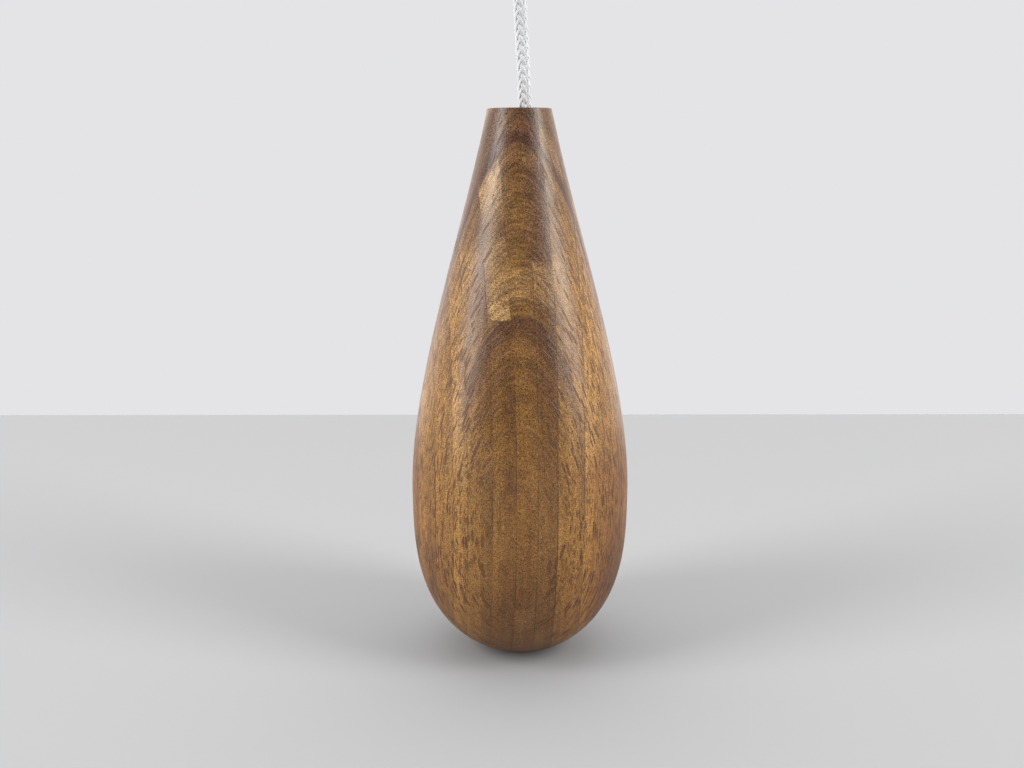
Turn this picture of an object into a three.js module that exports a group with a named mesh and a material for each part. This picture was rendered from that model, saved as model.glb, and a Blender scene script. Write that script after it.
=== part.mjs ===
// A turned beech light pull in the form of a plumb bob, threaded on a white braided cord.
// The cord comes up from a stopper knot in a recess under the wood, runs through the bore and
// ends above it in an overhand loop knot and the loop that it hangs by.
// Millimetres, +Z up. The origin is the point inside the loop where a hook bears.

import * as THREE from "three";

// --- Driving dimensions ---

// Turned body
const BODY_LENGTH = 90; // base to top face
const BELLY_RADIUS = 18.25; // widest, turned from a blank 38 mm square
const BELLY_HEIGHT = 27.6; // of the widest point above the base
const BOTTOM_FULLNESS = 2.94; // how full the round lower end is; 2 is a true ellipse
const LAND_RADIUS = 5.7; // flat ring round the recess that the body stands on
const TOP_RADIUS = 5.1; // flat top face
const NECK_SLOPE = 0.22; // radius lost per mm of height where the outline meets the top face
const BELLY_HANDLE = 18.4; // length of the upper outline's handle at the belly
const NECK_HANDLE = 20; // and at the top face
const RIM_CHAMFER = 0.3; // broken edge of the top face
const BORE_RADIUS = 2.25; // drilled from the top
const BORE_CHAMFER = 0.4;
const RECESS_RADIUS = 4.25; // drilled from the base, for the stopper knot
const RECESS_DEPTH = 20;
const RECESS_CHAMFER = 0.25;

// Cord and its knots
const CORD_RADIUS = 1.1;
const KNOT_GAP = 0.3; // between a knot and what lies against it
const LOOP_LENGTH = 14.3; // from where a hook bears down to the throat
const LOOP_KNOT_RADIUS = 4.6;
const FREE_LENGTH = 22.2; // of cord from the loop knot to the top face
const STOPPER_RADIUS = 3.4;
const STOPPER_HEIGHT = 6;
const TAIL_LENGTH = 4.4; // of each cut end
const TIP_RADIUS = 1.35; // where a cut end is melted

// Facets
const BODY_SIDES = 56;
const LOWER_STEPS = 14;
const UPPER_STEPS = 18;
const KNOT_SIDES = 20;
const KNOT_STEPS = 10;
const CORD_SIDES = 8;
const CORD_STEPS = 34;
const LOOP_STEPS = 30;

// --- Heights worked out from them ---

const THROAT_Z = -LOOP_LENGTH;
const LOOP_KNOT_Z = THROAT_Z - KNOT_GAP - LOOP_KNOT_RADIUS;
const CORD_TOP_Z = LOOP_KNOT_Z - LOOP_KNOT_RADIUS - KNOT_GAP;
const TOP_Z = CORD_TOP_Z + KNOT_GAP - FREE_LENGTH;
const BASE_Z = TOP_Z - BODY_LENGTH;
const SHOULDER_Z = BASE_Z + RECESS_DEPTH;
const STOPPER_TOP_Z = SHOULDER_Z - KNOT_GAP;
const STOPPER_TAIL_Z = STOPPER_TOP_Z - STOPPER_HEIGHT - KNOT_GAP;

// --- Materials ---

const beech = new THREE.MeshStandardMaterial({ color: 0x9c6b42, roughness: 0.45, metalness: 0 });
const whiteCord = new THREE.MeshStandardMaterial({ color: 0xe9ebec, roughness: 0.8, metalness: 0 });

// --- Helpers ---

// A solid turned about Z from a profile of [radius, height] pairs.
function turned(profile, sides) {
  const points = profile.map(([radius, height]) => new THREE.Vector2(radius, height));
  return new THREE.LatheGeometry(points, sides).rotateX(Math.PI / 2);
}

// A round rod of the cord's radius along a smooth curve through the points.
function cordAlong(points, steps) {
  const section = new THREE.Shape(
    Array.from({ length: CORD_SIDES }, (_, i) => {
      const angle = (2 * Math.PI * i) / CORD_SIDES;
      return new THREE.Vector2(CORD_RADIUS * Math.cos(angle), CORD_RADIUS * Math.sin(angle));
    }),
  );
  const extrudePath = new THREE.CatmullRomCurve3(points.map((p) => new THREE.Vector3(...p)));
  return new THREE.ExtrudeGeometry(section, { steps, bevelEnabled: false, extrudePath });
}

function part(name, geometry, material) {
  const mesh = new THREE.Mesh(geometry, material);
  mesh.name = name;
  return mesh;
}

// --- Turned body ---

// Outline from the land up to the belly, a full ellipse's lower quarter cut off at the land.
function lowerOutline() {
  const start = Math.asin(LAND_RADIUS / BELLY_RADIUS);
  const depth = (angle) => Math.cos(angle) ** (2 / BOTTOM_FULLNESS);
  return Array.from({ length: LOWER_STEPS }, (_, i) => {
    const angle = start + ((Math.PI / 2 - start) * i) / LOWER_STEPS;
    return [
      BELLY_RADIUS * Math.sin(angle),
      BASE_Z + BELLY_HEIGHT * (1 - depth(angle) / depth(start)),
    ];
  });
}

// Outline from the belly up to the broken edge of the top face.
function upperOutline() {
  const rimZ = TOP_Z - RIM_CHAMFER;
  const bellyZ = BASE_Z + BELLY_HEIGHT;
  const curve = new THREE.CubicBezierCurve(
    new THREE.Vector2(BELLY_RADIUS, bellyZ),
    new THREE.Vector2(BELLY_RADIUS, bellyZ + BELLY_HANDLE),
    new THREE.Vector2(TOP_RADIUS + NECK_SLOPE * NECK_HANDLE, rimZ - NECK_HANDLE),
    new THREE.Vector2(TOP_RADIUS, rimZ),
  );
  return curve.getPoints(UPPER_STEPS).map((p) => [p.x, p.y]);
}

function woodBody() {
  const land = [RECESS_RADIUS + RECESS_CHAMFER, BASE_Z];
  const profile = [
    land,
    ...lowerOutline(),
    ...upperOutline(),
    [TOP_RADIUS - RIM_CHAMFER, TOP_Z],
    [BORE_RADIUS + BORE_CHAMFER, TOP_Z],
    [BORE_RADIUS, TOP_Z - BORE_CHAMFER],
    [BORE_RADIUS, SHOULDER_Z],
    [RECESS_RADIUS, SHOULDER_Z],
    [RECESS_RADIUS, BASE_Z + RECESS_CHAMFER],
    land,
  ];
  return part("wood_body", turned(profile, BODY_SIDES), beech);
}

// --- Cord ---

// The route from the stopper knot to the loop knot. The cord is a little bowed: it leaves the
// bore against its right-hand side and comes back to the axis by the loop knot.
const CORD_ROUTE = [
  [0, 0, SHOULDER_Z],
  [0, 0, -110],
  [0.05, 0, -104],
  [0.12, 0, -98],
  [0.2, 0, -92],
  [0.3, 0, -86],
  [0.41, 0, -80],
  [0.52, 0, -74],
  [0.64, 0, -68],
  [0.75, 0, -62],
  [0.83, 0, -56],
  [0.88, 0, -51],
  [0.87, 0, -47],
  [0.81, 0, -44],
  [0.69, 0, -41],
  [0.52, 0, -38],
  [0.34, 0, -35],
  [0.18, 0, -32],
  [0.07, 0, -29],
  [0.01, 0, -26.5],
  [0, 0, CORD_TOP_Z],
];

// The loop, in the XZ plane, from one side of the throat over the top to the other.
const LOOP_SIDE = [
  [1.25, 0, THROAT_Z],
  [1.35, 0, -13],
  [2.25, 0, -10.4],
  [3.6, 0, -7.5],
  [4.5, 0, -4.2],
  [4.05, 0, -1.1],
  [2.35, 0, 0.65],
];
const LOOP_ROUTE = [
  ...LOOP_SIDE,
  [0, 0, CORD_RADIUS],
  ...LOOP_SIDE.toReversed().map(([x, y, z]) => [-x, y, z]),
];

// A cut end, hanging down from z = 0, with its melted tip.
function tail(name) {
  const profile = [
    [0, -TAIL_LENGTH],
    [TIP_RADIUS - 0.4, -TAIL_LENGTH + 0.15],
    [TIP_RADIUS, -TAIL_LENGTH + 0.7],
    [CORD_RADIUS, -TAIL_LENGTH + 1.6],
    [CORD_RADIUS, 0],
    [0, 0],
  ];
  return part(name, turned(profile, CORD_SIDES + 2), whiteCord);
}

// The loop knot's outer shape is a ball about the point that the cord swings round.
function loopKnot() {
  const geometry = new THREE.SphereGeometry(LOOP_KNOT_RADIUS, KNOT_SIDES, KNOT_STEPS);
  const mesh = part("loop_knot", geometry.rotateX(Math.PI / 2), whiteCord);
  mesh.position.z = LOOP_KNOT_Z;
  return mesh;
}

// The stopper knot's outer shape: a barrel with flat ends, wider than the bore above it.
function stopperKnot() {
  const bulge = Array.from({ length: KNOT_STEPS + 1 }, (_, i) => {
    const share = i / KNOT_STEPS;
    const inset = 1.1 * (2 * share - 1) ** 4;
    return [STOPPER_RADIUS - inset, STOPPER_TOP_Z - STOPPER_HEIGHT * (1 - share)];
  });
  const profile = [[0, STOPPER_TOP_Z - STOPPER_HEIGHT], ...bulge, [0, STOPPER_TOP_Z]];
  return part("stopper_knot", turned(profile, KNOT_SIDES), whiteCord);
}

// The loop knot's cut end leans back, clear of the cord as it swings from side to side.
function loopTail() {
  const mesh = tail("loop_tail");
  mesh.position.set(0, 2.8, LOOP_KNOT_Z - LOOP_KNOT_RADIUS + 0.2);
  mesh.rotation.x = 0.16;
  return mesh;
}

function stopperTail() {
  const mesh = tail("stopper_tail");
  mesh.position.z = STOPPER_TAIL_Z;
  return mesh;
}

const pull = new THREE.Group();
pull.add(
  woodBody(),
  part("cord", cordAlong(CORD_ROUTE, CORD_STEPS), whiteCord),
  part("hanging_loop", cordAlong(LOOP_ROUTE, LOOP_STEPS), whiteCord),
  loopKnot(),
  loopTail(),
  stopperKnot(),
  stopperTail(),
);

export default pull;
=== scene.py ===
"""A turned beech light pull in plumb-bob form on a white braided cord, standing on its base.

Shapes are worked out in millimetres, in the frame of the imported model: Z up, the origin where a
hook bears inside the hanging loop. Blender objects are in metres, so meshes are scaled by MM.
"""

import math

import bpy
import numpy as np
from mathutils import Matrix, Vector


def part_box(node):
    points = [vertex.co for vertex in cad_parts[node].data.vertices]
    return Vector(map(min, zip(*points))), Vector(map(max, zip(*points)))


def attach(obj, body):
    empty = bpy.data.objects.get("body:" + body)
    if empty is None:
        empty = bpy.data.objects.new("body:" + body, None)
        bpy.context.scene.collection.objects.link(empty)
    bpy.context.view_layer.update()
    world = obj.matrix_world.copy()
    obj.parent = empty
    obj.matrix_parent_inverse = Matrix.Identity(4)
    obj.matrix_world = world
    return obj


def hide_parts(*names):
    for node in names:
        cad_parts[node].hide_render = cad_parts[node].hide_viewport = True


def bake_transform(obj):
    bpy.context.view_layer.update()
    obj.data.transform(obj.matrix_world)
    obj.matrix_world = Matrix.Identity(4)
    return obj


MM = 0.001

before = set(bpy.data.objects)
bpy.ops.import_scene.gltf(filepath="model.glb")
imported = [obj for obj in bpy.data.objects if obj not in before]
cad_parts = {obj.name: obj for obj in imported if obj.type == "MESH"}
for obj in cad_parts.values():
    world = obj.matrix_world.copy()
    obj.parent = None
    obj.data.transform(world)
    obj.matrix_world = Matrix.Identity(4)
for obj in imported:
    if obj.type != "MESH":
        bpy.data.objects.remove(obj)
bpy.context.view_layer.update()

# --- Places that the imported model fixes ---

wood_low, wood_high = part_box("wood_body")
knot_low, knot_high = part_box("loop_knot")
BASE_Z = wood_low.z / MM
TOP_Z = wood_high.z / MM
RECESS_DEPTH = 20
SHOULDER_Z = BASE_Z + RECESS_DEPTH  # roof of the recess, which the stopper knot bears on
STOPPER_TIP_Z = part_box("stopper_tail")[0].z / MM
LOOP_KNOT_Z = (knot_low.z + knot_high.z) / 2 / MM

# --- Camera ---

CAMERA_BACK = 161  # mm in front of the axis
CAMERA_UP = 85.1  # mm above the base
CAMERA_DOWN = math.radians(13.73)
CAMERA_LEFT = math.radians(0.46)
CAMERA_ROLL = math.radians(-0.18)

camera = bpy.data.objects.new("Camera", bpy.data.cameras.new("Camera"))
bpy.context.scene.collection.objects.link(camera)
camera.data.lens = 35
camera.data.sensor_width = 36
camera.data.clip_start = 0.01
camera.matrix_world = (
    Matrix.Translation(Vector((0, -CAMERA_BACK, BASE_Z + CAMERA_UP)) * MM)
    @ Matrix.Rotation(CAMERA_LEFT, 4, "Z")
    @ Matrix.Rotation(math.pi / 2 - CAMERA_DOWN, 4, "X")
    @ Matrix.Rotation(CAMERA_ROLL, 4, "Z")
)
bpy.context.scene.camera = camera

# --- Cord route ---

ROUTE_STEP = 0.3  # between points of the finished line
SPLINE_SAMPLES = 12  # between one given point and the next
SMOOTHING = 4  # rounds
UP = (0, 0, 1)
DOWN = (0, 0, -1)

# Heights on the two knots, in mm from each knot's centre.
STOPPER_HALF = 5.2  # where the stopper knot stops, above and below
STOPPER_CENTRE = SHOULDER_Z - STOPPER_HALF
STOPPER_REACH = 6.3  # where the cord's ends are held while it is pulled tight
LOOP_KNOT_REACH = 6.2
LOOP_KNOT_FOOT = -4.6  # where the cord goes in
LOOP_KNOT_TAIL = -5.6  # where the cut end comes out
LOOP_KNOT_THROAT = 5.2  # where the loop starts

# Pulling a knot tight.
KNOT_ROUNDS = 350
KNOT_THICKNESS = 1.95  # the braid is squeezed a little where it is knotted
NEAR_REACH = 1.4  # in cord thicknesses: parts of a strand this near don't push each other apart
PASSES = 4  # in each round
STRETCH_FIX = 0.25  # share of a wrong length that each end makes good in a pass
BEND_FIX = 0.07  # share of each bend that is straightened
CONTACT_FIX = 0.5  # share of an overlap that each side gives way
CENTRE_REACH = 3.2  # mm above and below the middle, where the knot is kept on its axis
CENTRE_FIX = 0.15  # share of its offset
PINNED_POINTS = 3  # at each held end
PIN_ROUNDS = 100  # before the held ends have come home
SHORTENING = 0.99  # of a strand, in a round that isn't tight yet

# The CAD route of the cord between its knots, in mm.
CORD_ROUTE = [
    (0, 0, -116), (0, 0, -110), (0.05, 0, -104), (0.12, 0, -98), (0.2, 0, -92), (0.3, 0, -86),
    (0.41, 0, -80), (0.52, 0, -74), (0.64, 0, -68), (0.75, 0, -62), (0.83, 0, -56),
    (0.88, 0, -51), (0.87, 0, -47), (0.81, 0, -44), (0.69, 0, -41), (0.52, 0, -38),
    (0.34, 0, -35), (0.18, 0, -32), (0.07, 0, -29), (0.01, 0, -26.5), (0, 0, -24.1),
]
# One side of the CAD loop, from the throat up.
LOOP_SIDE = [
    (1.35, 0, -13), (2.25, 0, -10.4), (3.6, 0, -7.5), (4.5, 0, -4.2), (4.05, 0, -1.1),
    (2.35, 0, 0.65),
]
LOOP_TOP = (0, 0, 1.1)


def respaced(points, step):
    """The same line with its points evenly spaced, about step apart."""
    points = np.asarray(points, dtype=float)
    along = np.concatenate([[0], np.cumsum(np.linalg.norm(np.diff(points, axis=0), axis=1))])
    at = np.linspace(0, along[-1], max(2, round(along[-1] / step)) + 1)
    return np.stack([np.interp(at, along, points[:, axis]) for axis in range(3)], axis=1)


def spline(points, step):
    """A smooth curve through the points (Catmull-Rom), evenly spaced."""
    points = np.asarray(points, dtype=float)
    padded = np.vstack([2 * points[0] - points[1], points, 2 * points[-1] - points[-2]])
    t = np.linspace(0, 1, SPLINE_SAMPLES, endpoint=False)[:, None]
    out = []
    for a, b, c, d in zip(padded, padded[1:], padded[2:], padded[3:]):
        out.append(
            0.5 * (2 * b + (c - a) * t + (2 * a - 5 * b + 4 * c - d) * t**2
                   + (3 * b - a - 3 * c + d) * t**3)
        )
    return respaced(np.vstack(out + [points[-1:]]), step)


def smoothed(points, rounds):
    """The line with its small kinks taken out, ends kept."""
    points = points.copy()
    for _ in range(rounds):
        points[1:-1] += 0.5 * ((points[:-2] + points[2:]) / 2 - points[1:-1])
    return points


def tangents_of(points):
    """The line's direction at each point."""
    tangents = np.gradient(points, axis=0)
    return tangents / np.linalg.norm(tangents, axis=1)[:, None]


def carried_normals(points, first):
    """The directions at the points, and normals that turn no more than the line makes them."""
    tangents = tangents_of(points)
    normal = np.array(first, dtype=float)
    normals = []
    for tangent in tangents:
        normal = normal - tangent * (tangent @ normal)
        normal = normal / np.linalg.norm(normal)
        normals.append(normal)
    return tangents, np.array(normals)


def overhand(size, step):
    """A loose overhand knot about Z, from its lower end to its upper end."""
    t = np.linspace(-2.15, 2.15, 110)
    knot = np.stack([1.2 * (t**3 - 3 * t), t**4 - 4 * t**2, 0.35 * (t**5 - 10 * t)], axis=1)
    return respaced(knot * size, step)


def tightened(strands, pins, tension):
    """Pull the knot tight: each strand is points, each pin holds one end of a strand.

    A pin is (strand, at its end, place, direction inwards). The strands shorten until their
    contacts stretch them by the tension.
    """
    sizes = [len(strand) for strand in strands]
    starts = np.cumsum([0] + sizes)
    points = np.concatenate(strands).astype(float)
    strand_of = np.repeat(np.arange(len(strands)), sizes)
    index = np.arange(len(points))
    joined = strand_of[1:] == strand_of[:-1]
    inner = joined[1:] & joined[:-1]
    same = strand_of[:, None] == strand_of[None]
    steps_apart = abs(index[:, None] - index[None])
    step = np.linalg.norm(np.diff(points, axis=0), axis=1)[joined].mean()
    for turn in range(KNOT_ROUNDS):
        near = same & (steps_apart * step < NEAR_REACH * KNOT_THICKNESS)
        for _ in range(PASSES):
            gaps = points[1:] - points[:-1]
            lengths = np.linalg.norm(gaps, axis=1)
            fix = (STRETCH_FIX * (lengths - step) / lengths * joined)[:, None] * gaps
            points[:-1] += fix
            points[1:] -= fix
            bend = (points[:-2] + points[2:]) / 2 - points[1:-1]
            points[1:-1][inner] += BEND_FIX * bend[inner]
            apart = points[:, None] - points[None]
            distance = np.linalg.norm(apart, axis=2)
            touching = (distance < KNOT_THICKNESS) & ~near
            push = np.where(touching, (KNOT_THICKNESS - distance) / np.maximum(distance, 1e-9), 0)
            shared = np.maximum(touching.sum(1), 1)[:, None]
            points += CONTACT_FIX * (push[:, :, None] * apart).sum(1) / shared
            middle = abs(points[:, 2]) < CENTRE_REACH
            points[middle, :2] -= CENTRE_FIX * points[middle, :2].mean(axis=0)
            for strand, at_end, place, direction in pins:
                for nth in range(PINNED_POINTS):
                    i = starts[strand + 1] - 1 - nth if at_end else starts[strand] + nth
                    goal = np.array(place) + np.array(direction) * nth * step
                    points[i] += (goal - points[i]) * min(1, (turn + 1) / PIN_ROUNDS)
        if np.linalg.norm(np.diff(points, axis=0), axis=1)[joined].mean() < tension * step:
            step *= SHORTENING
    return np.split(points, starts[1:-1])


def stopper_line():
    """The stopper knot, from its tail up to the cord."""
    knot, = tightened(
        [overhand(size=1.1, step=0.6)],
        [(0, False, (0, 0, -STOPPER_REACH), UP), (0, True, (0, 0, STOPPER_REACH), DOWN)],
        tension=1.12,
    )
    return knot + (0, 0, STOPPER_CENTRE)


def loop_knot_lines():
    """The cord's way up through the loop knot and down again, and its cut end's way in."""
    loose = overhand(size=1.6, step=0.8)
    _, sideways = carried_normals(loose, (1, 0, 0))
    throat_x = LOOP_SIDE[0][0]
    tail_top = (0, 2.8, -LOOP_KNOT_REACH)
    inwards = np.array(tail_top) - (0, 2.1, -2)
    inwards = -inwards / np.linalg.norm(inwards)
    going_up, going_down = tightened(
        [loose + sideways, loose - sideways],
        [
            (0, False, (0, 0, -LOOP_KNOT_REACH), UP),
            (0, True, (throat_x, 0, LOOP_KNOT_REACH), DOWN),
            (1, False, tail_top, inwards),
            (1, True, (-throat_x, 0, LOOP_KNOT_REACH), DOWN),
        ],
        tension=1.1,
    )
    centre = (0, 0, LOOP_KNOT_Z)
    return going_up + centre, going_down[::-1] + centre, inwards


def cord_line():
    """The whole cord, from the stopper's cut end to the loop's."""
    stopper = stopper_line()
    going_up, going_down, inwards = loop_knot_lines()
    run = [p for p in CORD_ROUTE if stopper[-1, 2] + 2 < p[2] < going_up[0, 2] - 1]
    over = LOOP_SIDE[1:] + [LOOP_TOP] + [(-x, y, z) for x, y, z in LOOP_SIDE[:0:-1]]
    tail = [going_down[-1] - inwards * length for length in (1.0, 2.6)]
    foot = (0, 0, STOPPER_TIP_Z + 0.5)
    parts = [
        spline([foot, *stopper[::2], *run, *going_up[::2]], ROUTE_STEP),
        spline([going_up[-1], *over, *going_down[::2], *tail], ROUTE_STEP),
    ]
    rough = respaced(np.vstack(parts), ROUTE_STEP)
    return respaced(smoothed(rough, SMOOTHING), ROUTE_STEP)


line = cord_line()
line_tangents, line_normals = carried_normals(line, (1, 0, 0))
line_sides = np.cross(line_tangents, line_normals)
arc = np.concatenate([[0], np.cumsum(np.linalg.norm(np.diff(line, axis=0), axis=1))])


def first_index(test, after=0):
    """The first point of the line, from index after on, that passes the test."""
    return after + int(np.argmax([bool(test(p)) for p in line[after:]]))


# Indices where one piece of the cord ends and the next starts.
throat_z = LOOP_KNOT_Z + LOOP_KNOT_THROAT
AT_KNOT_FOOT = first_index(lambda p: p[2] > STOPPER_CENTRE - STOPPER_HALF)
AT_BORE = first_index(lambda p: p[2] > SHOULDER_Z + 1)
AT_KNOT_IN = first_index(lambda p: p[2] > LOOP_KNOT_Z + LOOP_KNOT_FOOT, AT_BORE)
AT_THROAT = first_index(lambda p: p[2] > throat_z, AT_KNOT_IN)
AT_THROAT_BACK = first_index(lambda p: p[0] < 0 and p[2] < throat_z, AT_THROAT)
AT_END = len(line) - 1
AT_TAIL = AT_END - int(np.argmax(line[::-1, 2] > LOOP_KNOT_Z + LOOP_KNOT_TAIL))

# --- Braid ---

CARRIERS = 8  # strands each way
BRAID_PITCH = 11.4  # mm for one turn of a strand
BRAID_RADIUS = 0.79
BRAID_WAVE = 0.1  # how far a strand rises and dips as it passes over two and under two
BRAID_WAVES = 4  # in one turn of a strand
BRAID_LEAN = 30.25  # degrees that the braid is turned by where the cord leaves the wood
STRAND_WIDTH = 0.7
STRAND_THICKNESS = 0.4
STRAND_SIDES = 6
CORE_RADIUS = 0.72
CORE_SIDES = 10

at_mouth = first_index(lambda p: p[2] > TOP_Z, AT_BORE)
mouth_side, mouth_normal = line_sides[at_mouth], line_normals[at_mouth]
BRAID_TURN = math.radians(BRAID_LEAN) + math.atan2(mouth_side[0], mouth_normal[0])


def tube(centres, across, out, width, thickness, sides, first_vertex):
    """Rings of a flattened tube: vertices, quads with their UVs, and the two end caps."""
    angles = np.linspace(0, 2 * np.pi, sides, endpoint=False)
    ring = (
        across[:, None] * (width / 2 * np.cos(angles))[None, :, None]
        + out[:, None] * (thickness / 2 * np.sin(angles))[None, :, None]
    )
    vertices = (centres[:, None] + ring).reshape(-1, 3)
    rings = np.arange(len(centres) - 1)[:, None] * sides
    j = np.arange(sides)[None]
    k = (j + 1) % sides
    quads = np.stack([rings + j, rings + k, rings + sides + k, rings + sides + j], axis=2)
    quads = quads.reshape(-1, 4) + first_vertex
    along = np.concatenate([[0], np.cumsum(np.linalg.norm(np.diff(centres, axis=0), axis=1))])
    u0 = np.repeat(along[:-1], sides)
    u1 = np.repeat(along[1:], sides)
    v0 = np.tile(np.arange(sides) / sides, len(centres) - 1)
    v1 = v0 + 1 / sides
    uvs = np.stack([u0, v0, u0, v1, u1, v1, u1, v0], axis=1).reshape(-1, 2)
    last = first_vertex + (len(centres) - 1) * sides
    caps = [list(range(first_vertex + sides - 1, first_vertex - 1, -1)),
            list(range(last, last + sides))]
    return vertices, quads, uvs, caps


def ring_quads(rings, sides, closed=False):
    """Faces between rings of vertices; closed joins the last ring to the first."""
    faces = []
    for i in range(rings if closed else rings - 1):
        a, b = i * sides, (i + 1) % rings * sides
        for j in range(sides):
            k = (j + 1) % sides
            faces.append([a + j, a + k, b + k, b + j])
    return faces


def new_piece(name, vertices, faces, uvs=None):
    """A mesh object from points in mm."""
    mesh = bpy.data.meshes.new(name)
    mesh.from_pydata((np.asarray(vertices) * MM).tolist(), [], faces)
    if uvs is not None:
        layer = mesh.uv_layers.new(name="Strand")
        layer.data.foreach_set("uv", np.asarray(uvs, dtype=np.float32).ravel())
    mesh.polygons.foreach_set("use_smooth", [True] * len(mesh.polygons))
    mesh.update()
    piece = bpy.data.objects.new(name, mesh)
    bpy.context.scene.collection.objects.link(piece)
    return piece


def braided(name, start, end):
    """The stretch of the cord's braid between two indices of the line, round a plain core."""
    points = line[start : end + 1]
    normals = line_normals[start : end + 1]
    sides = line_sides[start : end + 1]
    lengths = arc[start : end + 1]
    vertices, faces, uvs = [], [], []
    count = 0

    def add(centres, across, out, width, thickness, ring):
        nonlocal count
        verts, quads, quad_uvs, caps = tube(
            centres, across, out, width, thickness, ring, count
        )
        vertices.append(verts)
        faces.extend(quads.tolist() + caps)
        uvs.append(quad_uvs)
        uvs.append(np.zeros((2 * ring, 2)))
        count += len(verts)

    add(points, normals, sides, 2 * CORE_RADIUS, 2 * CORE_RADIUS, CORE_SIDES)
    for way in (1, -1):
        for carrier in range(CARRIERS):
            turns = carrier / CARRIERS + way * lengths / BRAID_PITCH
            turn = 2 * np.pi * turns + BRAID_TURN
            wave = np.cos(BRAID_WAVES * (turn - BRAID_TURN) - math.pi / 4)
            radius = BRAID_RADIUS + way * BRAID_WAVE * wave
            out = np.cos(turn)[:, None] * normals + np.sin(turn)[:, None] * sides
            centres = points + radius[:, None] * out
            heading = tangents_of(centres)
            out = out - heading * (out * heading).sum(1)[:, None]
            out /= np.linalg.norm(out, axis=1)[:, None]
            across = np.cross(out, heading)
            add(centres, across, out, STRAND_WIDTH, STRAND_THICKNESS, STRAND_SIDES)
    return new_piece(name, np.vstack(vertices), faces, np.vstack(uvs))


cord = braided("cord_braid", AT_BORE, AT_KNOT_IN)
stopper_knot = braided("stopper_knot_braid", AT_KNOT_FOOT, AT_BORE)
stopper_tail = braided("stopper_tail_braid", 0, AT_KNOT_FOOT)
knot_up = braided("loop_knot_braid", AT_KNOT_IN, AT_THROAT)
loop = braided("hanging_loop_braid", AT_THROAT, AT_THROAT_BACK)
knot_down = braided("loop_knot_return_braid", AT_THROAT_BACK, AT_TAIL)
loop_tail = braided("loop_tail_braid", AT_TAIL, AT_END)

# --- Melted ends ---

TIP_SIDES = 28
# Radius and height past the end of the line, from the cord outwards.
TIP_PROFILE = [
    (1.0, -1.3), (1.1, -1.1), (1.2, -0.8), (1.29, -0.45), (1.32, -0.1), (1.26, 0.2),
    (1.1, 0.42), (0.85, 0.55), (0.5, 0.62), (0.2, 0.6),
]


def melted_tip(name, end, inner):
    """The bead that a cut end is melted into, at the line's end point; inner is one before it."""
    axis = line[end] - line[inner]
    axis /= np.linalg.norm(axis)
    side = line_normals[end]
    other = np.cross(axis, side)
    vertices = []
    for radius, height in TIP_PROFILE:
        for j in range(TIP_SIDES):
            angle = 2 * math.pi * j / TIP_SIDES
            wobble = 1 + 0.05 * math.sin(3 * angle + 4 * height) + 0.03 * math.sin(7 * angle)
            vertices.append(
                line[end] + axis * height
                + (side * math.cos(angle) + other * math.sin(angle)) * radius * wobble
            )
    faces = ring_quads(len(TIP_PROFILE), TIP_SIDES)
    top = (len(TIP_PROFILE) - 1) * TIP_SIDES
    faces.append(list(range(top, top + TIP_SIDES)))
    faces.append(list(range(TIP_SIDES - 1, -1, -1)))
    return new_piece(name, vertices, faces)


stopper_tip = melted_tip("stopper_melted_tip", 0, 3)
loop_tip = melted_tip("loop_melted_tip", AT_END, AT_END - 3)

# --- Turned body ---

BELLY_RADIUS = 18.25
BELLY_HEIGHT = 27.6  # of the widest point above the base
BOTTOM_FULLNESS = 2.94  # how full the round lower end is; 2 is a true ellipse
LAND_RADIUS = 5.7  # flat ring round the recess
LAND_MIDDLE = 5.1  # one more ring of points across it
TOP_RADIUS = 5.1
NECK_SLOPE = 0.22  # radius lost per mm of height under the top face
BELLY_HANDLE = 18.4  # of the upper outline, at the belly
NECK_HANDLE = 20  # and at the top face
RIM_CHAMFER = 0.3
RIM_ROUNDING = 0.1
BORE_RADIUS = 2.25
BORE_CHAMFER = 0.4
RECESS_RADIUS = 4.25
RECESS_CHAMFER = 0.25
ROOF_MIDDLE = 3.2  # one more ring of points across the recess's roof
TURNED_SIDES = 192
LOWER_STEPS = 60
UPPER_STEPS = 90
EDGE_ANGLE = math.radians(50)  # an edge sharper than this stays crisp


def rounded(corner_in, corner, corner_out, steps=5):
    """A broken edge, softened: points on a curve from one side of a corner to the other."""
    out = []
    for i in range(steps + 1):
        t = i / steps
        out.append(tuple(
            (1 - t) ** 2 * a + 2 * t * (1 - t) * b + t**2 * c
            for a, b, c in zip(corner_in, corner, corner_out)
        ))
    return out


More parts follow.
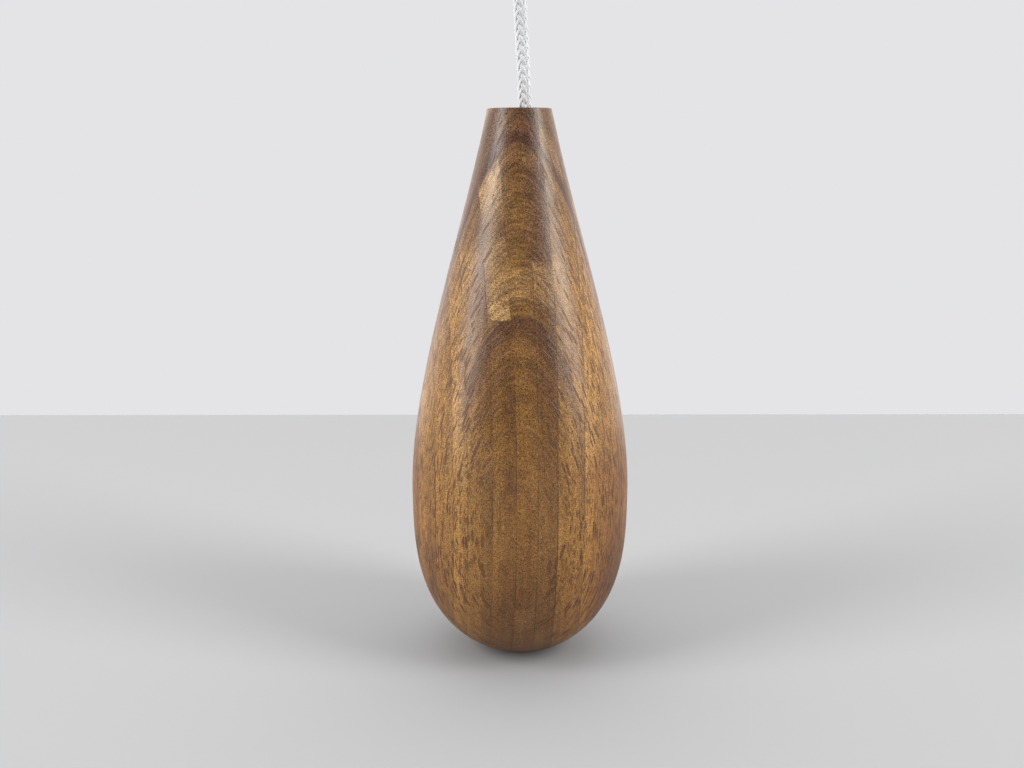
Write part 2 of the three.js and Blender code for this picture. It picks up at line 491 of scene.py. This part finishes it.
def body_profile():
    """Radius and height, from the land round the outside, down the bore and out of the recess."""
    start = math.asin(LAND_RADIUS / BELLY_RADIUS)

    def depth(angle):
        return math.cos(angle) ** (2 / BOTTOM_FULLNESS)

    lower = []
    for i in range(LOWER_STEPS):
        angle = start + (math.pi / 2 - start) * i / LOWER_STEPS
        lower.append((
            BELLY_RADIUS * math.sin(angle),
            BASE_Z + BELLY_HEIGHT * (1 - depth(angle) / depth(start)),
        ))
    rim_z = TOP_Z - RIM_CHAMFER
    belly_z = BASE_Z + BELLY_HEIGHT
    knots = [
        (BELLY_RADIUS, belly_z), (BELLY_RADIUS, belly_z + BELLY_HANDLE),
        (TOP_RADIUS + NECK_SLOPE * NECK_HANDLE, rim_z - NECK_HANDLE), (TOP_RADIUS, rim_z),
    ]
    upper = []
    for i in range(UPPER_STEPS):
        t = i / UPPER_STEPS
        weights = ((1 - t) ** 3, 3 * t * (1 - t) ** 2, 3 * t * t * (1 - t), t**3)
        upper.append(tuple(sum(w * k[axis] for w, k in zip(weights, knots)) for axis in (0, 1)))
    rim_radius = TOP_RADIUS - NECK_SLOPE * RIM_CHAMFER
    rim = rounded((rim_radius + 0.02, TOP_Z - RIM_ROUNDING), (rim_radius, TOP_Z),
                  (rim_radius - RIM_ROUNDING, TOP_Z))
    mouth = rounded((BORE_RADIUS + BORE_CHAMFER, TOP_Z), (BORE_RADIUS + 0.03, TOP_Z),
                    (BORE_RADIUS, TOP_Z - BORE_CHAMFER))
    bore = [(BORE_RADIUS, z) for z in np.linspace(TOP_Z - 2, SHOULDER_Z + 2, 24)]
    roof = [(radius, SHOULDER_Z) for radius in (BORE_RADIUS, ROOF_MIDDLE, RECESS_RADIUS)]
    wall = [(RECESS_RADIUS, z) for z in np.linspace(SHOULDER_Z - 0.3, BASE_Z + 1, 8)]
    foot = rounded((RECESS_RADIUS, BASE_Z + RECESS_CHAMFER), (RECESS_RADIUS + 0.02, BASE_Z),
                   (RECESS_RADIUS + RECESS_CHAMFER, BASE_Z))
    land = [(LAND_MIDDLE, BASE_Z)]
    return [*land, *lower, *upper, *rim, *mouth, *bore, *roof, *wall, *foot]


def turned_body():
    """The wood, turned about Z from its profile."""
    profile = body_profile()
    angles = np.linspace(0, 2 * np.pi, TURNED_SIDES, endpoint=False)
    vertices = [
        (radius * math.cos(a), radius * math.sin(a), z) for radius, z in profile for a in angles
    ]
    faces = ring_quads(len(profile), TURNED_SIDES, closed=True)
    turned = new_piece("turned_body", vertices, faces)
    edges = turned.modifiers.new("Edges", "EDGE_SPLIT")
    edges.split_angle = EDGE_ANGLE
    return turned


body = turned_body()


# --- Node graphs ---

class Wire:
    """An output socket that can be reckoned with."""

    def __init__(self, graph, socket):
        self.graph = graph
        self.socket = socket

    def __add__(self, other):
        return self.graph.math("ADD", self, other)

    __radd__ = __add__

    def __sub__(self, other):
        return self.graph.math("SUBTRACT", self, other)

    def __rsub__(self, other):
        return self.graph.math("SUBTRACT", other, self)

    def __mul__(self, other):
        return self.graph.math("MULTIPLY", self, other)

    def __truediv__(self, other):
        return self.graph.math("DIVIDE", self, other)


class Graph:
    """A material's or world's nodes, with one call for each kind used here."""

    def __init__(self, owner, shader):
        owner.use_nodes = True
        self.owner = owner
        self.tree = owner.node_tree
        self.shader = self.tree.nodes[shader]

    def put(self, socket, value):
        """Link the socket to a wire, or set it to a plain value."""
        if isinstance(value, Wire):
            self.tree.links.new(value.socket, socket)
        else:
            socket.default_value = value

    def node(self, kind, values=(), output=0, **settings):
        """A new node with its sockets' values and its settings; gives one output."""
        node = self.tree.nodes.new(kind)
        for key, value in settings.items():
            setattr(node, key, value)
        for key, value in dict(values).items():
            self.put(node.inputs[key], value)
        return Wire(self, node.outputs[output])

    def math(self, operation, a, b=0.0):
        return self.node("ShaderNodeMath", {0: a, 1: b}, operation=operation)

    def parts(self, vector):
        """The three numbers of a vector."""
        split = self.tree.nodes.new("ShaderNodeSeparateXYZ")
        self.put(split.inputs[0], vector)
        return [Wire(self, output) for output in split.outputs]

    def point(self, x, y, z):
        return self.node("ShaderNodeCombineXYZ", {0: x, 1: y, 2: z})

    def step(self, value, low, high):
        """0 at low, 1 at high, smooth between; high may be the smaller."""
        return self.node(
            "ShaderNodeMapRange", {"Value": value, "From Min": low, "From Max": high},
            interpolation_type="SMOOTHSTEP",
        )

    def noise(self, vector, scale=1.0, detail=2.0, roughness=0.5):
        """Soft noise from 0 to 1 about 0.5."""
        return self.node(
            "ShaderNodeTexNoise",
            {"Vector": vector, "Scale": scale, "Detail": detail, "Roughness": roughness},
            noise_dimensions="3D",
        )

    def flecks(self, vector):
        """Distance to the nearest of a scatter of points, one to each unit cell."""
        return self.node(
            "ShaderNodeTexVoronoi", {"Vector": vector, "Scale": 1.0, "Randomness": 1.0},
            feature="F1", distance="EUCLIDEAN",
        )

    def ramp(self, value, stops):
        """A number looked up between stops, each a place from 0 to 1 and a tone."""
        node = self.tree.nodes.new("ShaderNodeValToRGB")
        elements = node.color_ramp.elements
        while len(elements) < len(stops):
            elements.new(0.5)
        for element, (place, tone) in zip(elements, stops):
            element.position = place
            element.color = (tone, tone, tone, 1)
        self.put(node.inputs[0], value)
        return Wire(self, node.outputs[0])

    def steps(self, value, tones):
        """Even steps from 0 to 1, each with its own tone."""
        count = len(tones)
        ramp = self.ramp(value, [(i / count, tone) for i, tone in enumerate(tones)])
        ramp.socket.node.color_ramp.interpolation = "CONSTANT"
        return ramp

    def mix(self, share, a, b, blend="MIX"):
        """Colour a with a share of b laid over it."""
        node = self.tree.nodes.new("ShaderNodeMix")
        node.data_type = "RGBA"
        node.blend_type = blend
        node.clamp_factor = True
        self.put(node.inputs[0], share)
        self.put(node.inputs[6], a if isinstance(a, Wire) else (*a, 1))
        self.put(node.inputs[7], b if isinstance(b, Wire) else (*b, 1))
        return Wire(self, node.outputs[2])

    def bump(self, height, distance, strength):
        return self.node(
            "ShaderNodeBump", {"Height": height, "Distance": distance, "Strength": strength}
        )

    def set(self, **values):
        """Give the shader its values, with _ for a space in a socket's name."""
        for key, value in values.items():
            self.put(self.shader.inputs[key.replace("_", " ")], value)


def material_graph(name):
    return Graph(bpy.data.materials.new(name), "Principled BSDF")


def linear(red, green, blue):
    """A colour given as 8-bit sRGB."""
    return tuple(
        c / 255 / 12.92 if c <= 10 else ((c / 255 + 0.055) / 1.055) ** 2.4
        for c in (red, green, blue)
    )


# --- Beech ---

# Colours of the oiled wood.
TAN = linear(187, 137, 65)
BROWN = linear(131, 96, 47)
PURPLE = linear(72, 45, 33)
CREAM = linear(212, 170, 112)
RAY_BROWN = linear(98, 58, 24)
DASH_BROWN = linear(88, 50, 21)
PAINTED_SHADE = linear(172, 148, 132)  # painted shade: multiplies the colour low down on the wood, where it is less lit

# Where each growth ring starts and the last one ends, in mm across X at the belly.
RING_EDGES = (-19.6, -16.5, -13.3, -10.3, -8.0, -4.2, -0.5, 3.0, 6.0, 10.2, 13.4, 16.5, 19.6)
RING_TONES = [0.3, 0.15, 0.5, 0.2, 0.5, 0.4, 0.32, 0.9, 0.12, 0.1, 0.5, 0.25]
RING_COUNT = len(RING_TONES)
RING_REACH = 20  # mm that the rings' ramp covers to each side
STRAIGHTEST = 33  # mm above the base, where the rings stand upright
RING_BOW = 0.00107  # mm that a ring leans to the left, per mm squared from there

# Dark layers of the heartwood: mm along Y from the axis, and how dark.
HEART_LAYERS = [
    (-16.9, 0.25), (-16.2, 0.1), (-15.8, 0.45), (-15.5, 0.2), (-15.0, 0.25), (-14.75, 0.6),
    (-14.5, 0.3), (-14.0, 0.35), (-13.45, 1.0), (-12.95, 1.0), (-12.75, 0.1), (-12.2, 0.08),
    (-11.6, 0.3), (-11.1, 0.08), (-9.2, 0.2), (-6.7, 0.06), (-6.2, 0.3), (-4.8, 0.08),
    (-4.45, 0.6), (-4.1, 0.12), (-3.3, 0.35), (-2.9, 1.0), (-2.4, 1.0), (-1.7, 0.5),
    (0.5, 0.55), (3.5, 0.3), (5.2, 0.9), (7.3, 0.2), (11.0, 0.15), (12.0, 0.8),
    (13.5, 0.2), (16.2, 0.35),
]
LAYER_REACH = 19  # mm that the layers' ramp covers to each side
HINDMOST = 57  # mm above the base, where a layer lies furthest back
LAYER_CURL = 0.004  # mm that it comes forward, per mm squared from there
LOWEST_CURL = 35  # mm above the base, below which a layer runs straight down


def beech_material():
    """Grain in mm: x across, y front to back, h above the base."""
    g = material_graph("Oiled beech")
    place = g.node("ShaderNodeTexCoord", output=3)
    x, y, z = [part * (1 / MM) for part in g.parts(place)]
    h = z - BASE_Z
    off_axis = g.math("ABSOLUTE", x)

    # Everything wanders a little, slowly along the grain and faster across it.
    drift = g.noise(g.point(x / 13, y / 13, h / 38), detail=2.0) - 0.5
    ripple = g.noise(g.point(x / 3.2, y / 3.2, h / 17), detail=2.0) - 0.5

    # Growth rings: nearly flat sheets across X, bowed as they rise, good years and bad.
    bow = (h - STRAIGHTEST) * (h - STRAIGHTEST) * RING_BOW
    across = x + bow + drift * 0.7 + ripple * 0.25
    year = g.ramp((across + RING_REACH) / (2 * RING_REACH), [
        ((edge + RING_REACH) / (2 * RING_REACH), number / RING_COUNT)
        for number, edge in enumerate(RING_EDGES)
    ])
    ring = year * RING_COUNT - RING_COUNT / 2
    ring_number = g.math("FLOOR", ring)
    share = g.math("FRACT", ring)
    ring_tone = g.steps(year, RING_TONES)
    mottle = g.noise(g.point(ring_number * 3.7, y / 30, h / 26), detail=1.0)
    broken = g.noise(g.point(x / 3, y / 3, h / 9), detail=1.0)
    early = g.step(share, 0.14, 0.02) * g.step(broken, 0.42, 0.68)
    line_edge = g.math("ABSOLUTE", share - 0.5)
    ring_line = g.step(line_edge, 0.455, 0.49) * (g.step(broken, 0.38, 0.62) * 0.85 + 0.15)
    late = g.step(share, 0.3, 1.0)
    finer = g.step(g.noise(g.point(ring * 5.2, y / 40, h / 45), detail=2.0), 0.4, 0.64)

    # Colour layers of the heartwood: sheets across Y, torn a little where they meet a ring.
    tear = g.noise(g.point(ring_number * 7.3, y / 5, h / 22), detail=1.0) - 0.5
    from_hindmost = g.math("MAXIMUM", h, LOWEST_CURL) - HINDMOST
    curl = from_hindmost * from_hindmost * LAYER_CURL
    layer = y + curl + drift * 0.4 + ripple * 0.4 + tear * 0.5
    layers = g.ramp((layer + LAYER_REACH) / (2 * LAYER_REACH), [
        ((at + LAYER_REACH) / (2 * LAYER_REACH), dark) for at, dark in HEART_LAYERS
    ])

    # How far up in the brown heart a point is.
    height_share = g.step(h + drift * 18, 22, 74)
    # Partly painted sheen: on the flanks, left and right of the axis, the brown heart thins and
    # the early wood is paler. This is partly the wood's own colour and partly the bright
    # surroundings' sheen painted in. The browner middle is partly a painted reflection of the dim
    # front.
    flank = g.step(off_axis, 4, 10)
    heart_and_painted_sheen = height_share * (0.75 - flank * 0.4) + (1 - flank) * 0.35

    # One ring, left of the middle, stays pale high up and golden just above a dark layer.
    before_next = g.step(ring, 0.005, -0.01)
    pale_ring = g.step(ring, -1.02, -0.98) * before_next
    frayed = g.noise(g.point(x * 0.8, y, h * 1.5), detail=2.0) - 0.5
    inner = g.step(ring + frayed * 0.4, -1.0, -0.75) * before_next
    pale = pale_ring * g.step(layer, -3.0, -3.8) * g.step(h, 71, 81)
    low_end = h + frayed * 0.9 - ring * 0.3
    golden = inner * g.step(layer, -10.0, -11.5) * g.step(low_end, 58.6, 59.0)
    golden = golden * (g.step(low_end, 62.0, 59.8) * 0.6 + 0.4) * g.step(h, 70, 63)

    # Patches that start and stop at the rings.
    patch = g.noise(
        g.point(ring_number * 5.1, layer / 4.5, h / 15), detail=1.0, roughness=0.4
    )
    patch_light = g.step(patch, 0.55, 0.72)
    patch_dark = g.step(patch, 0.45, 0.3)

    # Rays: thin ribbons along X that end as short dark dashes on the sides.
    sway = y + h * 0.02 + ripple * 0.5
    rays = g.flecks(g.point(x * 0.1, sway * 3.5, h * 0.31))
    small_rays = g.flecks(g.point(x * 0.15 + 31, sway * 5.2, h * 0.62))
    gap = g.noise(g.point(x / 1.4, sway * 0.8, h / 4), detail=0.0)
    dash = g.step(rays, 0.41, 0.35) * g.step(gap, 0.4, 0.5)
    small_dash = g.step(small_rays, 0.42, 0.36) * g.step(gap, 0.6, 0.5)
    facing = g.step(off_axis, 3, 9)

    # Pores, stripes and fibres, fine across the grain and longer along it.
    pores = g.noise(g.point(x * 7.5, y * 7.5, h * 5), detail=1.0, roughness=0.6)
    stripes = g.noise(g.point(x * 0.3, y * 4.6, h * 0.12), detail=2.0, roughness=0.6)
    fibre = g.noise(g.point(x * 2.4, y * 2.4, h * 0.14), detail=3.0, roughness=0.65)

    colour = g.mix(heart_and_painted_sheen, TAN, BROWN)
    colour = g.mix(ring_tone * (height_share * 0.42 + 0.28), colour, PURPLE)
    colour = g.mix(g.step(mottle, 0.4, 0.7) * 0.15, colour, PURPLE)
    colour = g.mix(finer * 0.24, colour, RAY_BROWN)
    colour = g.mix(layers * (height_share * 0.9 + 0.1), colour, PURPLE)
    colour = g.mix(patch_light * 0.2, colour, CREAM)
    colour = g.mix(patch_dark * 0.2, colour, PURPLE)
    colour = g.mix(pale * 0.58 + golden * 0.6, colour, CREAM)
    # Early wood, paler on the flanks: partly the wood's own colour, partly painted sheen.
    colour = g.mix(early * (0.08 + flank * 0.18), colour, CREAM)
    colour = g.mix(late * 0.2 + ring_line * 0.6, colour, PURPLE)
    colour = g.mix(dash * (facing * 0.5 + 0.35), colour, DASH_BROWN)
    colour = g.mix(small_dash * (facing * 0.55 + 0.12), colour, DASH_BROWN)
    colour = g.mix((fibre - 0.5) * 0.8 + 0.08, colour, RAY_BROWN)
    fine = g.ramp(pores, [(0.33, 0.38), (0.5, 1.0), (0.67, 1.85)])
    colour = g.mix(1.0, colour, fine, blend="MULTIPLY")
    arcs = g.ramp(stripes, [(0.38, 0.66), (0.5, 1.0), (0.62, 1.3)])
    colour = g.mix(height_share * 0.8 + 0.1, colour, arcs, blend="MULTIPLY")

    # Painted shade low down, where less light reaches the wood: the foot, the middle, the flanks
    # (more on the right), and a band on the axis that is partly a darker streak of the wood
    # itself and partly painted shade.
    low = g.step(h, 30, 8) * 0.36 + g.step(h, 56, 46) * (1 - flank) * 0.34
    low = low + g.step(h, 50, 30) * (g.step(off_axis, 7, 15) * 0.5 + g.step(x, 3, 8) * 0.2)
    low = low + g.step(h, 46, 28) * g.step(h, 8, 17) * g.step(off_axis, 4.5, 1) * 0.22
    colour = g.mix(low, colour, PAINTED_SHADE, blend="MULTIPLY")

    roughness = (pores - 0.5) * 0.4 + 0.34 + dash * 0.12 + g.step(h, 44, 28) * 0.14
    relief = pores * 0.7 + fibre * 0.3 - dash * 0.5 - ring_line * 0.25
    normal = g.bump(relief, 0.00006, 0.55)
    g.set(Base_Color=colour, Roughness=roughness, Normal=normal, IOR=1.48)
    return g.owner


# --- Polyester ---

def polyester_material():
    """The braid's strands, each a bundle of fine threads."""
    g = material_graph("White polyester braid")
    uv = g.node("ShaderNodeUVMap", uv_map="Strand")
    along, around, _ = g.parts(uv)
    place = g.node("ShaderNodeTexCoord", output=3)
    spread = g.noise(place, 900.0, detail=1.0) - 0.5
    threads = g.math("SINE", (around * 13 + along * 0.35 + spread * 0.6) * (2 * math.pi))
    fuzz = g.noise(g.point(along * 3.0, around * 30, 0.0), detail=2.0)
    tone = g.noise(place, 260.0, detail=2.0)
    colour = g.mix(g.step(threads, -1.0, 1.0), linear(190, 191, 193), linear(225, 226, 227))
    colour = g.mix(g.step(tone, 0.35, 0.7) * 0.35, colour, linear(200, 200, 202))
    normal = g.bump(threads * 0.5 + fuzz * 0.4, 0.00002, 0.4)
    g.set(Base_Color=colour, Roughness=fuzz * 0.3 + 0.4, Normal=normal)
    g.set(Sheen_Weight=0.25, Sheen_Roughness=0.4, IOR=1.5)
    return g.owner


def melted_material():
    """A cut end, glassy and a little yellowed by the flame."""
    g = material_graph("Melted polyester")
    place = g.node("ShaderNodeTexCoord", output=3)
    blots = g.noise(place, 700.0, detail=3.0)
    colour = g.mix(g.step(blots, 0.4, 0.7), linear(218, 217, 213), linear(198, 193, 182))
    normal = g.bump(blots, 0.0001, 0.5)
    g.set(Base_Color=colour, Roughness=blots * 0.3 + 0.2, Normal=normal, IOR=1.5)
    return g.owner


beech = beech_material()
polyester = polyester_material()
melted = melted_material()
body.data.materials.append(beech)
braids = [cord, stopper_knot, stopper_tail, knot_up, knot_down, loop, loop_tail]
for piece in braids:
    piece.data.materials.append(polyester)
tips = [stopper_tip, loop_tip]
for piece in tips:
    piece.data.materials.append(melted)

# --- What rides on what ---

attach(body, "pull")
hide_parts("wood_body")

for piece in (stopper_knot, stopper_tail, stopper_tip):
    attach(piece, "stopper_knot")
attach(cord, "cord")
for piece in (knot_up, knot_down, loop_tail, loop_tip):
    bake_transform(piece)
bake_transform(loop)

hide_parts("cord")
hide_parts("stopper_knot")
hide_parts("stopper_tail")
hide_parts("loop_knot")
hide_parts("hanging_loop")
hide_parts("loop_tail")

# --- Floor and light ---

FLOOR_REACH = 0.75  # metres to the front and to each side
FLOOR_BACK = 0.146  # metres behind the axis, where the table ends
FLOOR_GREY = 0.315
LIGHT_TARGET = Vector((0, 0, (BASE_Z + 50) * MM))
SOFTBOX_SIZE = (0.4, 1.0)


def floor():
    """The pale table top that the object stands on."""
    mesh = bpy.data.meshes.new("Floor")
    corners = [
        (-FLOOR_REACH, -FLOOR_REACH, 0), (FLOOR_REACH, -FLOOR_REACH, 0),
        (FLOOR_REACH, FLOOR_BACK, 0), (-FLOOR_REACH, FLOOR_BACK, 0),
    ]
    mesh.from_pydata(corners, [], [[0, 1, 2, 3]])
    plane = bpy.data.objects.new("Floor", mesh)
    plane.location.z = BASE_Z * MM
    bpy.context.scene.collection.objects.link(plane)
    g = material_graph("Pale floor")
    g.set(Base_Color=(FLOOR_GREY, FLOOR_GREY, FLOOR_GREY, 1), Roughness=0.9)
    mesh.materials.append(g.owner)


def soft_light(name, place, size, power):
    """A white area light that faces the object; place and size in metres, power in watts."""
    data = bpy.data.lights.new(name, "AREA")
    data.shape = "RECTANGLE"
    data.size, data.size_y = size
    data.energy = power
    lamp = bpy.data.objects.new(name, data)
    bpy.context.scene.collection.objects.link(lamp)
    lamp.location = place
    towards = LIGHT_TARGET - Vector(place)
    lamp.rotation_euler = towards.to_track_quat("-Z", "Y").to_euler()


def studio_world():
    """Pale to look at; as light, bright behind the object and dim in front of it."""
    g = Graph(bpy.data.worlds.new("Studio"), "Background")
    _, back, up = g.parts(g.node("ShaderNodeTexCoord"))
    light = g.step(back, -0.5, 0.75) * 1.3 + g.step(up, 0.2, 1.0) * 0.3 + 0.15
    seen = g.node("ShaderNodeLightPath")
    g.set(Color=(0.97, 0.97, 1.0, 1), Strength=light * (1 - seen) + seen * 0.8)
    bpy.context.scene.world = g.owner


floor()
soft_light("Left softbox", (-0.94, -0.36, 0.46), SOFTBOX_SIZE, 13.5)
soft_light("Right softbox", (0.94, -0.36, 0.46), SOFTBOX_SIZE, 13.5)
soft_light("Top softbox", (0, 0.1, 0.8), (0.9, 0.9), 2.4)
studio_world()
bpy.context.scene.view_settings.view_transform = "Standard"
